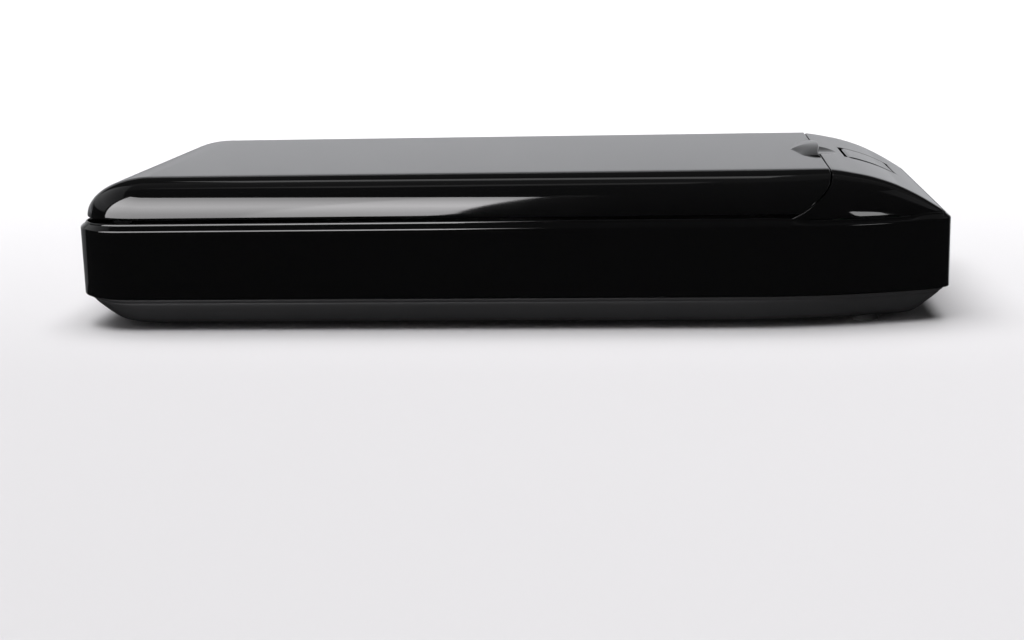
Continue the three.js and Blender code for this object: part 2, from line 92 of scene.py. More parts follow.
taper_f = hermite([(40, 65.5)] + TAPER)
cover_f = hermite(COVER_TOP)
seam_f = hermite([(z, x) for x, z in reversed(SEAM)])    # x of the seam at height z


def band_y(x):
    return float(taper_f(x)) if x > 40 else WIDTH / 2


def cover_z(x):
    return float(cover_f(x))


COVER_ZB = 31.7                                               # height at which the cover's side would stand upright


def ease(a, b, x):
    u = min(1.0, max(0.0, (x - a) / (b - a)))
    return u * u * (3 - 2 * u)


def rim_drop(x):
    """How much lower the rim and the cover's foot lie beside the cover."""
    return 0.7 * ease(82, 92, x) * (1 - ease(119, 126, x))


def rim_rise(x):
    """How much higher the rim stands beside the lid."""
    return 0.32 * ease(-131, -121, x) * (1 - ease(76, 90, x))


# ------------------------------------------------------------------ mesh helpers
def obj_from(name, verts, faces, mat, body, smooth_deg=None, scale=MM):
    me = bpy.data.meshes.new(name)
    me.from_pydata([tuple(c * scale for c in v) for v in verts], [], faces)
    me.update()
    o = bpy.data.objects.new(name, me)
    bpy.context.scene.collection.objects.link(o)
    finish_mesh(o, mat, body, smooth_deg)
    return o


def finish_mesh(o, mat, body, smooth_deg=None):
    me = o.data
    bm = bmesh.new()
    bm.from_mesh(me)
    bmesh.ops.remove_doubles(bm, verts=bm.verts, dist=2e-6)
    bmesh.ops.dissolve_degenerate(bm, dist=1e-7, edges=bm.edges)
    loose = [v for v in bm.verts if not v.link_faces]
    bmesh.ops.delete(bm, geom=loose, context="VERTS")
    bmesh.ops.recalc_face_normals(bm, faces=bm.faces)
    bm.to_mesh(me)
    bm.free()
    for p in me.polygons:
        p.use_smooth = True
    if smooth_deg:
        me.set_sharp_from_angle(angle=math.radians(smooth_deg))
    me.materials.clear()
    me.materials.append(mat)
    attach(o, body)


def shell_from_surface(verts, faces, wall, r=0.3, lip_steps=4, inner=True):
    """Closes an open surface (outward faces) into a shell: its free edges get a small round of radius r,
    then a wall and an inner skin. Returns verts, faces in the same units."""
    bm = bmesh.new()
    bv = [bm.verts.new(v) for v in verts]
    for f in faces:
        try:
            bm.faces.new([bv[i] for i in f])
        except ValueError:
            pass
    bmesh.ops.remove_doubles(bm, verts=bm.verts, dist=1e-3)
    bmesh.ops.dissolve_degenerate(bm, dist=1e-4, edges=bm.edges)
    bmesh.ops.delete(bm, geom=[v for v in bm.verts if not v.link_faces], context="VERTS")
    bmesh.ops.recalc_face_normals(bm, faces=bm.faces)
    bm.normal_update()
    if sum(f.normal.z * f.calc_area() for f in bm.faces) < 0:
        bmesh.ops.reverse_faces(bm, faces=bm.faces)
        bm.normal_update()
    bm.verts.ensure_lookup_table()
    outer = list(bm.verts)
    normals = {v: v.normal.copy() for v in outer}
    outer_faces = [list(f.verts) for f in bm.faces]
    border = [e for e in bm.edges if len(e.link_faces) == 1]
    # direction out of the surface at each border vertex
    out_dir = {}
    for e in border:
        f = e.link_faces[0]
        vs = list(f.verts)
        i = vs.index(e.verts[0])
        a, b = (e.verts[0], e.verts[1]) if vs[(i + 1) % len(vs)] is e.verts[1] else (e.verts[1], e.verts[0])
        d = (b.co - a.co)
        t = d.cross(f.normal)
        t.normalize()
        for v in (a, b):
            out_dir.setdefault(v, []).append(t)
    inner_v = {v: bm.verts.new(v.co - normals[v] * wall) for v in outer} if inner else {}
    rows = {}
    for v, ts in out_dir.items():
        n = normals[v]
        t = Vector((0, 0, 0))
        for q in ts:
            t += q
        t = t - n * t.dot(n)
        t.normalize()
        k = 1.0
        if len(ts) == 2:
            c = max(0.35, ts[0].dot(t))
            k = 1.0 / c
        centre = v.co - n * r
        row = [v]
        for s in range(1, lip_steps + 1):
            a = (s / lip_steps) * math.pi / 2
            row.append(bm.verts.new(centre + n * (r * math.cos(a)) + t * (r * k * math.sin(a))))
        if inner:
            row.append(bm.verts.new(v.co + t * (r * k) - n * wall))
            row.append(inner_v[v])
        rows[v] = row
    for e in border:
        f = e.link_faces[0]
        vs = list(f.verts)
        i = vs.index(e.verts[0])
        a, b = (e.verts[0], e.verts[1]) if vs[(i + 1) % len(vs)] is e.verts[1] else (e.verts[1], e.verts[0])
        ra, rb = rows[a], rows[b]
        for s in range(len(ra) - 1):
            quad = [rb[s], ra[s], ra[s + 1], rb[s + 1]]
            bm.faces.new(quad)
    if inner:
        for vs in outer_faces:
            try:
                bm.faces.new([inner_v[v] for v in reversed(vs)])
            except ValueError:
                pass
    bm.verts.index_update()
    out_v = [tuple(v.co) for v in bm.verts]
    out_f = [[v.index for v in f.verts] for f in bm.faces]
    bm.free()
    return out_v, out_f


class Grid:
    """Collects patches of quads that share vertices by position."""

    def __init__(self):
        self.v, self.f = [], []

    def patch(self, pts, flip=False):
        """pts[i][j]: rows of points; every cell becomes a quad."""
        base = len(self.v)
        ni, nj = len(pts), len(pts[0])
        for row in pts:
            self.v.extend(row)
        for i in range(ni - 1):
            for j in range(nj - 1):
                a, b, c, d = base + i * nj + j, base + i * nj + j + 1, base + (i + 1) * nj + j + 1, base + (i + 1) * nj + j
                self.f.append([a, d, c, b] if flip else [a, b, c, d])


def linspace(a, b, n):
    return [a + (b - a) * i / (n - 1) for i in range(n)]


def dish_z(x, y, dish, base):
    dx, a, b, depth = dish
    q = 1 - ((x - dx) / a) ** 2 - (y / b) ** 2
    return base - depth * q if q > 0 else base


def visor_z(x, y):
    """Top of the lid with the raised finger lip: a leaf in plan with its point on the middle line."""
    u = abs(y)
    length = LIP["length"] * (1 - 0.11 * math.sin(math.pi * min(u, 18.0) / 18.0))
    r2 = (max(0.0, LIP["x"] - x) / length) ** 2 + (u / LIP["half"]) ** 2
    if r2 >= 1:
        return Z_TOP
    h = LIP["height"] * (1 - r2) ** 0.86
    return Z_TOP + h * h / (h + 0.10)        # small fillet at the foot


def visor_end(y, x_end):
    """The lip's free edge in plan: full at the middle, drawn back a little at both sides."""
    u = abs(y)
    w = min(1.0, max(0.0, (23.4 - u) / 5.0))
    w = w * w * (3 - 2 * w)
    return x_end + 0.75 * math.cos(math.pi * min(u, 21.0) / 21.0) * w


# outline of the band in plan, dense and smooth, counter-clockwise, with outward normals
def outline_points():
    pts = []
    cx, cy = -LENGTH / 2 + CORNER_R, -WIDTH / 2 + CORNER_R
    n = 28
    for i in range(n + 1):
        a = math.pi + (i / n) * math.pi / 2
        pts.append((cx + CORNER_R * math.cos(a), cy + CORNER_R * math.sin(a)))
    for x in linspace(-112, 36, 38):
        pts.append((x, -WIDTH / 2))
    for x in linspace(40, 126.5, 58):
        pts.append((x, -band_y(x)))
    # end corner: blend from the taper to the flat end
    x0, y0 = 127.2, -band_y(127.2)
    slope = (band_y(127.2) - band_y(126.2))
    p0, p3 = (x0, y0), (LENGTH / 2, -49.6)
    p1 = (x0 + 3.0, y0 - slope * 3.0)
    p2 = (LENGTH / 2, -52.6)
    for i in range(0, 15):
        t = i / 14
        pts.append(tuple((1 - t)**3 * p0[k] + 3 * (1 - t)**2 * t * p1[k] + 3 * (1 - t) * t * t * p2[k] + t**3 * p3[k] for k in (0, 1)))
    for y in [-46, -40, -34, -28, -22, -16, -11, -8]:
        pts.append((LENGTH / 2, y))
    for y in [-5.1, -3.4, -1.7, 0.0]:
        pts.append((LENGTH / 2, y))
    mirrored = [(x, -y) for x, y in reversed(pts) if abs(y) > 1e-6]
    left = [(-LENGTH / 2, y) for y in (40, 30, 20, 10, 0, -10, -20, -30, -40)]
    return pts + mirrored + left


OUT = outline_points()


def outline_normals():
    n = len(OUT)
    out = []
    for i in range(n):
        a, b = OUT[i - 1], OUT[(i + 1) % n]
        p = OUT[i]
        e1 = (p[0] - a[0], p[1] - a[1])
        e2 = (b[0] - p[0], b[1] - p[1])
        l1, l2 = math.hypot(*e1), math.hypot(*e2)
        nx, ny = e1[1] / l1 + e2[1] / l2, -e1[0] / l1 - e2[0] / l2
        l = math.hypot(nx, ny)
        out.append((nx / l, ny / l))
    return out


OUT_N = outline_normals()


def loop_at(inset, z, squeeze=0.0):
    """The outline moved in by inset; squeeze (one number, or ends and sides) moves it in further in proportion,
    which keeps small corners round."""
    sx, sy_ = squeeze if isinstance(squeeze, tuple) else (squeeze, squeeze)
    res = []
    for (x, y), (nx, ny) in zip(OUT, OUT_N):
        x, y = x - nx * inset, y - ny * inset
        res.append((x * (1 - sx / (LENGTH / 2)), y * (1 - sy_ / (WIDTH / 2)), z))
    return res


def sweep(profile, closed=True):
    """profile: list of (inset, squeeze, z) swept round the outline."""
    verts, faces = [], []
    n = len(OUT)
    for ins, sq, z in profile:
        verts.extend(loop_at(ins, z, sq))
    m = len(profile)
    for i in range(m if closed else m - 1):
        for j in range(n):
            a, b = i * n + j, i * n + (j + 1) % n
            c, d = ((i + 1) % m) * n + (j + 1) % n, ((i + 1) % m) * n + j
            faces.append([a, b, c, d])
    return verts, faces


def arc(cx, cz, r, a0, a1, n):
    return [(cx + r * math.cos(math.radians(a0 + (a1 - a0) * i / n)), 0.0, cz + r * math.sin(math.radians(a0 + (a1 - a0) * i / n)))
            for i in range(n + 1)]


# ------------------------------------------------------------------ materials
def new_mat(name):
    m = bpy.data.materials.new(name)
    m.use_nodes = True
    nt = m.node_tree
    nt.nodes.clear()
    out = nt.nodes.new("ShaderNodeOutputMaterial")
    bsdf = nt.nodes.new("ShaderNodeBsdfPrincipled")
    nt.links.new(bsdf.outputs[0], out.inputs[0])
    return m, nt, bsdf


def node(nt, kind, **kw):
    n = nt.nodes.new(kind)
    for k, v in kw.items():
        if k in n.inputs.keys() if hasattr(n.inputs, "keys") else False:
            n.inputs[k].default_value = v
        else:
            setattr(n, k, v)
    return n


def obj_coords(nt, scale=(1, 1, 1)):
    tc = nt.nodes.new("ShaderNodeTexCoord")
    mp = nt.nodes.new("ShaderNodeMapping")
    mp.inputs["Scale"].default_value = scale
    nt.links.new(tc.outputs["Object"], mp.inputs["Vector"])
    return mp.outputs["Vector"]


def noise(nt, vec, scale, detail=3.0, rough=0.5):
    n = nt.nodes.new("ShaderNodeTexNoise")
    n.inputs["Scale"].default_value = scale
    n.inputs["Detail"].default_value = detail
    n.inputs["Roughness"].default_value = rough
    nt.links.new(vec, n.inputs["Vector"])
    return n.outputs[0]


def ramp(nt, fac, stops, interp="LINEAR"):
    n = nt.nodes.new("ShaderNodeValToRGB")
    cr = n.color_ramp
    cr.interpolation = interp
    while len(cr.elements) > 1:
        cr.elements.remove(cr.elements[-1])
    cr.elements[0].position = stops[0][0]
    cr.elements[0].color = stops[0][1]
    for p, c in stops[1:]:
        e = cr.elements.new(p)
        e.color = c
    nt.links.new(fac, n.inputs["Fac"])
    return n.outputs["Color"]


def grey(v):
    return (v, v, v, 1.0)


def maprange(nt, val, a, b, c, d):
    n = nt.nodes.new("ShaderNodeMapRange")
    n.inputs["From Min"].default_value = a
    n.inputs["From Max"].default_value = b
    n.inputs["To Min"].default_value = c
    n.inputs["To Max"].default_value = d
    nt.links.new(val, n.inputs["Value"])
    return n.outputs["Result"]


def bump(nt, bsdf, height, strength, distance):
    b = nt.nodes.new("ShaderNodeBump")
    b.inputs["Strength"].default_value = strength
    b.inputs["Distance"].default_value = distance
    nt.links.new(height, b.inputs["Height"])
    nt.links.new(b.outputs[0], bsdf.inputs["Normal"])
    return b


def math_node(nt, op, a, b=None):
    n = nt.nodes.new("ShaderNodeMath")
    n.operation = op
    for i, v in enumerate((a, b)):
        if v is None:
            continue
        if isinstance(v, (int, float)):
            n.inputs[i].default_value = v
        else:
            nt.links.new(v, n.inputs[i])
    return n.outputs[0]


def mix_rgb(nt, fac, a, b, blend="MIX"):
    n = nt.nodes.new("ShaderNodeMix")
    n.data_type = "RGBA"
    n.blend_type = blend
    for sock, v in ((n.inputs[0], fac), (n.inputs[6], a), (n.inputs[7], b)):
        if isinstance(v, (int, float)):
            sock.default_value = v
        elif isinstance(v, tuple):
            sock.default_value = v
        else:
            nt.links.new(v, sock)
    return n.outputs[2]


def gloss_black(name, dust=0.8):
    """Piano-gloss moulding: deep black, a faint flow unevenness, hairline wipe marks and specks of dust."""
    m, nt, b = new_mat(name)
    vec = obj_coords(nt)
    # specks of dust: tiny cells, only some of them filled
    v1 = nt.nodes.new("ShaderNodeTexVoronoi")
    v1.inputs["Scale"].default_value = 340.0
    nt.links.new(vec, v1.inputs["Vector"])
    speck = ramp(nt, v1.outputs["Distance"], [(0.0, grey(1)), (0.035, grey(1)), (0.075, grey(0))])
    pick = ramp(nt, v1.outputs["Color"], [(0.0, grey(0)), (0.9, grey(0)), (0.96, grey(1))], "LINEAR")
    dust_m = math_node(nt, "MULTIPLY", speck, pick)
    dust_m = math_node(nt, "MULTIPLY", dust_m, dust)
    # hairlines: noise stretched along the length
    hv = obj_coords(nt, (26, 900, 900))
    hl = noise(nt, hv, 1.0, 2.0, 0.55)
    hair = ramp(nt, hl, [(0.0, grey(0)), (0.66, grey(0)), (0.72, grey(1))])
    base = mix_rgb(nt, dust_m, (0.0034, 0.0034, 0.0036, 1), (0.16, 0.155, 0.15, 1))
    nt.links.new(base, b.inputs["Base Color"])
    cloud = noise(nt, vec, 22.0, 3.0, 0.6)
    rough = maprange(nt, cloud, 0.3, 0.7, 0.03, 0.06)
    rough = math_node(nt, "ADD", rough, math_node(nt, "MULTIPLY", hair, 0.05))
    rough = math_node(nt, "ADD", rough, math_node(nt, "MULTIPLY", dust_m, 0.5))
    nt.links.new(rough, b.inputs["Roughness"])
    b.inputs["IOR"].default_value = 1.47
    b.inputs["Specular IOR Level"].default_value = 0.5
    flow = noise(nt, vec, 9.0, 1.0, 0.4)
    h = math_node(nt, "ADD", math_node(nt, "MULTIPLY", flow, 1.0), math_node(nt, "MULTIPLY", dust_m, 0.6))
    bump(nt, b, h, 0.08, 0.0004)
    return m


def matte_black(name):
    m, nt, b = new_mat(name)
    vec = obj_coords(nt)
    grain = noise(nt, vec, 2600.0, 4.0, 0.7)
    blotch = noise(nt, vec, 35.0, 3.0, 0.6)
    nt.links.new(ramp(nt, blotch, [(0.25, (0.027, 0.027, 0.028, 1)), (0.8, (0.034, 0.034, 0.035, 1))]), b.inputs["Base Color"])
    nt.links.new(maprange(nt, grain, 0.3, 0.7, 0.44, 0.6), b.inputs["Roughness"])
    b.inputs["Specular IOR Level"].default_value = 0.10
    bump(nt, b, grain, 0.35, 0.00008)
    return m


def rubber(name):
    m, nt, b = new_mat(name)
    vec = obj_coords(nt)
    g = noise(nt, vec, 1400.0, 3.0, 0.6)
    nt.links.new(ramp(nt, g, [(0.3, (0.005, 0.005, 0.005, 1)), (0.75, (0.011, 0.011, 0.011, 1))]), b.inputs["Base Color"])
    nt.links.new(maprange(nt, g, 0.2, 0.8, 0.75, 0.95), b.inputs["Roughness"])
    bump(nt, b, g, 0.4, 0.0001)
    return m


def metallised(name, rim=None):
    """Vacuum-metallised plastic: bright, a little milky, with faint drawn streaks and smudges. Given a height, black is
    painted above it as shade.
    """
    m, nt, b = new_mat(name)
    vec = obj_coords(nt)
    sm = noise(nt, vec, 28.0, 4.0, 0.6)
    st = noise(nt, obj_coords(nt, (12, 240, 240)), 1.0, 2.0, 0.5)
    bright = ramp(nt, sm, [(0.3, (0.66, 0.67, 0.69, 1)), (0.7, (0.80, 0.81, 0.83, 1))])
    r = math_node(nt, "ADD", maprange(nt, sm, 0.3, 0.7, 0.13, 0.24), math_node(nt, "MULTIPLY", st, 0.06))
    if rim:
        # painted shade: above this height, and over the tray's left end, black takes the place of the coating and
        # stands in for the shade in the gap under the lid
        sep = nt.nodes.new("ShaderNodeSeparateXYZ")
        nt.links.new(vec, sep.inputs[0])
        shade_left_end = maprange(nt, sep.outputs[0], -0.0915, -0.0905, 0.02, 0.0)
        edge = math_node(nt, "ADD", sep.outputs[2], math_node(nt, "MULTIPLY", noise(nt, vec, 500.0, 2.0, 0.5), 0.0002))
        edge = math_node(nt, "ADD", edge, shade_left_end)
        coat_vs_painted_shade = maprange(nt, edge, rim, rim + 0.00012, 1.0, 0.0)
        nt.links.new(mix_rgb(nt, coat_vs_painted_shade, (0.006, 0.006, 0.0065, 1), bright), b.inputs["Base Color"])
        nt.links.new(coat_vs_painted_shade, b.inputs["Metallic"])
        nt.links.new(math_node(nt, "ADD", r, maprange(nt, coat_vs_painted_shade, 0.0, 1.0, 0.25, 0.0)), b.inputs["Roughness"])
    else:
        nt.links.new(bright, b.inputs["Base Color"])
        b.inputs["Metallic"].default_value = 1.0
        nt.links.new(r, b.inputs["Roughness"])
    bump(nt, b, noise(nt, vec, 60.0, 2.0, 0.5), 0.12, 0.0003)
    return m


def steel(name, tint=(0.56, 0.57, 0.59)):
    m, nt, b = new_mat(name)
    br = noise(nt, obj_coords(nt, (60, 2500, 2500)), 1.0, 3.0, 0.6)
    c = noise(nt, obj_coords(nt), 180.0, 3.0, 0.6)
    lo = tuple(t * 0.8 for t in tint) + (1,)
    nt.links.new(ramp(nt, c, [(0.3, lo), (0.7, tint + (1,))]), b.inputs["Base Color"])
    b.inputs["Metallic"].default_value = 1.0
    nt.links.new(maprange(nt, br, 0.2, 0.8, 0.24, 0.4), b.inputs["Roughness"])
    bump(nt, b, br, 0.1, 0.00005)
    return m


def plain(name, lo, hi, r0, r1, scale=300.0, bump_s=0.15, metal=0.0, trans=0.0, dist=0.00006):
    m, nt, b = new_mat(name)
    vec = obj_coords(nt)
    g = noise(nt, vec, scale, 4.0, 0.6)
    nt.links.new(ramp(nt, g, [(0.3, lo + (1,)), (0.7, hi + (1,))]), b.inputs["Base Color"])
    nt.links.new(maprange(nt, g, 0.25, 0.75, r0, r1), b.inputs["Roughness"])
    b.inputs["Metallic"].default_value = metal
    if trans:
        b.inputs["Transmission Weight"].default_value = trans
    bump(nt, b, g, bump_s, dist)
    return m


def circuit(name):
    """Green solder mask with faint copper tracks under it."""
    m, nt, b = new_mat(name)
    vec = obj_coords(nt)
    br = nt.nodes.new("ShaderNodeTexBrick")
    br.inputs["Scale"].default_value = 260.0
    br.inputs["Mortar Size"].default_value = 0.06
    br.inputs["Color1"].default_value = (0.010, 0.085, 0.030, 1)
    br.inputs["Color2"].default_value = (0.014, 0.110, 0.040, 1)
    br.inputs["Mortar"].default_value = (0.035, 0.20, 0.075, 1)
    nt.links.new(vec, br.inputs["Vector"])
    nt.links.new(br.outputs["Color"], b.inputs["Base Color"])
    nt.links.new(maprange(nt, noise(nt, vec, 90.0), 0.3, 0.7, 0.28, 0.42), b.inputs["Roughness"])
    bump(nt, b, br.outputs["Fac"], 0.2, 0.00004)
    return m


M_GLOSS = gloss_black("gloss_black")
M_MATTE = matte_black("matte_black")
M_RUBBER = rubber("rubber")
M_MIRROR = metallised("reflector")
# the tray gets painted shade: black above 30.2 mm and at its left end, in place of the coating
M_TRAY = metallised("reflector_tray", 0.0302)
M_STEEL = steel("steel")
# near-black steel: painted shade for the small steel parts that show through the gaps
M_SHADE_BLACK = plain("steel_painted_shade_black", (0.005, 0.005, 0.0055), (0.009, 0.009, 0.0095), 0.36, 0.5, 700.0, 0.2, 0.9)
M_RACK = plain("rack_plastic", (0.72, 0.74, 0.77), (0.80, 0.82, 0.84), 0.16, 0.28, 120.0, 0.1, 0.0, 0.55)
M_LEDB = plain("led_board", (0.70, 0.70, 0.68), (0.80, 0.80, 0.78), 0.35, 0.5, 420.0)
M_LED = plain("led_package", (0.62, 0.55, 0.24), (0.78, 0.72, 0.42), 0.12, 0.25, 700.0)
M_PCB = circuit("circuit_board")
M_CHIP = plain("black_component", (0.012, 0.012, 0.013), (0.022, 0.022, 0.024), 0.45, 0.6, 900.0, 0.3)
M_IVORY = plain("ivory_plastic", (0.60, 0.56, 0.44), (0.68, 0.64, 0.52), 0.4, 0.55, 500.0)
M_FERRITE = plain("ferrite", (0.035, 0.035, 0.038), (0.06, 0.06, 0.064), 0.55, 0.8, 800.0, 0.4)
M_CAN = plain("aluminium_can", (0.62, 0.63, 0.65), (0.72, 0.73, 0.75), 0.22, 0.34, 260.0, 0.1, 1.0)
M_MAGNET = plain("magnet_nickel", (0.52, 0.53, 0.54), (0.62, 0.63, 0.64), 0.16, 0.28, 260.0, 0.08, 1.0)
M_CABLE = plain("cable_jacket", (0.014, 0.014, 0.015), (0.024, 0.024, 0.026), 0.5, 0.7, 600.0, 0.2)

NODE_MATS = {"gloss_black": M_GLOSS, "matte_black": M_MATTE, "rubber": M_RUBBER, "reflector": M_MIRROR, "steel": M_STEEL,
             "rack_plastic": M_RACK, "led_board": M_LEDB, "led_package": M_LED, "circuit_board": M_PCB,
             "black_component": M_CHIP, "ivory_plastic": M_IVORY, "ferrite": M_FERRITE, "aluminium_can": M_CAN,
             "magnet_nickel": M_MAGNET, "cable_jacket": M_CABLE}
for sp in frame["record"]["subparts"]:
    o = frame["nodes"][sp["node"]]
    o.data.materials.clear()
    o.data.materials.append(NODE_MATS[sp["material_slot"]])


# ------------------------------------------------------------------ lid shell
def lid_surface():
    g = Grid()
    r = 0.32                              # edge round, added afterwards
    zb = LID_BOTTOM + r
    xt = -LENGTH / 2 + LID_GAP + ROLL_X
    h = Z_TOP - LID_BOTTOM
    t0 = math.asin((zb - LID_BOTTOM) / h)
    nl = 30
    levels = [t0 + (math.pi / 2 - t0) * i / nl for i in range(nl + 1)]
    x_end = SEAM_X - SEAM_GAP - r

    def seam_x(z):
        return min(x_end, float(seam_f(z)) - SEAM_GAP - r) if z < 44.9 else x_end

    x_foot = 87.4                         # the finger lip lies between here and the seam
    n_lip = 34
    cols = [x_end + (x_foot - x_end) * k / n_lip for k in range(n_lip)]
    cols += [x_foot + (xt - x_foot) * k / 44 for k in range(45)]
    stations = [(x_end - x) / (x_end - xt) for x in cols]

    ys = linspace(-ROLL_Y, ROLL_Y, 25)
    yf = sorted(set([round(y, 6) for y in ys if abs(y) > 25.5] + [round(y, 6) for y in linspace(-25.2, 25.2, 127)]
                    + [round(y, 6) for y in ys if abs(y) <= 25.5]))
    keep_y = [yf[0]]
    for y in yf[1:]:
        if y - keep_y[-1] < 0.12:
            if any(abs(y - q) < 1e-5 for q in ys):
                keep_y[-1] = y
            continue
        keep_y.append(y)
    rows = []
    for t in levels:
        c, z = math.cos(t), LID_BOTTOM + h * math.sin(t)
        row = []
        xs = seam_x(z)
        front = []
        for q in stations:
            x = xs + (xt - xs) * q
            yb = band_y(x) - LID_GAP - ROLL_Y
            front.append((x, -(ROLL_Y + yb * c), z))
        row.extend(front)
        b = WIDTH / 2 - LID_GAP - ROLL_Y
        nq = 22
        for k in range(1, nq + 1):
            q = math.pi / 2 * (1 - k / nq)
            row.append((xt - ROLL_X * c * math.cos(q), -(ROLL_Y + b * c * math.sin(q)), z))
        for y in keep_y[1:-1]:
            row.append((xt - ROLL_X * c, y, z))
        for k in range(nq, 0, -1):
            q = math.pi / 2 * (1 - k / nq)
            row.append((xt - ROLL_X * c * math.cos(q), ROLL_Y + b * c * math.sin(q), z))
        row.extend([(x, -y, zz) for x, y, zz in reversed(front)])
        rows.append(row)
    g.patch(rows)
    # flat top with the finger lip: rows across Y, columns along X, on the stations of the level line above
    flat = []
    for y in keep_y:
        xe = visor_end(y, x_end)
        row = []
        for k, x in enumerate(cols):
            if k < n_lip:
                x = xe + (x_foot - xe) * k / n_lip
            row.append((x, y, visor_z(x, y) if abs(y) < 25.3 and k <= n_lip else Z_TOP))
        flat.append(row)
    g.patch(flat, flip=True)
    return g.v, g.f


v, f = lid_surface()
v, f = shell_from_surface(v, f, 1.8, 0.32)
lid = obj_from("lid_outer_shell", v, f, M_GLOSS, "lid", 38)
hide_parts("lid_shell")


def plate_xz(name, outline, holes, y0, y1, mat, body, edge):
    """A plate cut to an outline in X and Z with round holes, its edges rounded."""
    pts, loops_ = [], []
    for ring in [outline] + holes:
        loops_.append(list(range(len(pts), len(pts) + len(ring))))
        pts += [Vector(q) for q in ring]
    segs = [(lp_[i], lp_[(i + 1) % len(lp_)]) for lp_ in loops_ for i in range(len(lp_))]
    tv, te, tf, _a, _b, _c = delaunay_2d_cdt(pts, segs, [], 0, 1e-5)
    bm = bmesh.new()
    low = [bm.verts.new((q.x * MM, y0 * MM, q.y * MM)) for q in tv]
    for tri in tf:
        mx, mz = sum(tv[i].x for i in tri) / 3, sum(tv[i].y for i in tri) / 3
        if inside(mx, mz, outline) and not any(inside(mx, mz, h_) for h_ in holes):
            bm.faces.new([low[i] for i in tri])
    bmesh.ops.delete(bm, geom=[q for q in bm.verts if not q.link_faces], context="VERTS")
    up_ = bmesh.ops.extrude_face_region(bm, geom=list(bm.faces))
    bmesh.ops.translate(bm, vec=(0, (y1 - y0) * MM, 0), verts=[q for q in up_["geom"] if isinstance(q, bmesh.types.BMVert)])
    bmesh.ops.recalc_face_normals(bm, faces=bm.faces)
    bmesh.ops.dissolve_limit(bm, angle_limit=math.radians(0.6), verts=bm.verts, edges=bm.edges)
    sharp = [e for e in bm.edges if len(e.link_faces) == 2 and e.calc_face_angle(0.0) > math.radians(33)]
    bmesh.ops.bevel(bm, geom=sharp, offset=edge * MM, offset_type="OFFSET", segments=2, profile=0.5, affect="EDGES", clamp_overlap=True)
    me = bpy.data.meshes.new(name)
    bm.to_mesh(me)
    bm.free()
    o = bpy.data.objects.new(name, me)
    bpy.context.scene.collection.objects.link(o)
    finish_mesh(o, mat, body)
    weighted_normals(o, 60)
    return o


def inside(px, py, pl):
    c_ = False
    for i in range(len(pl)):
        (x1, y1), (x2, y2) = pl[i], pl[i - 1]
        if (y1 > py) != (y2 > py) and px < (x2 - x1) * (py - y1) / (y2 - y1) + x1:
            c_ = not c_
    return c_


def ring_xz(cx, cz, r, n_, a0=0.0, a1=360.0):
    m_ = n_ if a1 - a0 >= 360 else n_ - 1
    return [(cx + r * math.cos(math.radians(a0 + (a1 - a0) * i / m_)), cz + r * math.sin(math.radians(a0 + (a1 - a0) * i / m_))) for i in range(n_)]


LUG = ring_xz(AXIS[0], AXIS[1], 3.8, 25, 180, 360) + [(-114.2, 36.2), (-104.0, 41.5), (-104.0, 43.5), (-119.4, 43.3), (-121.7, 41.6)]


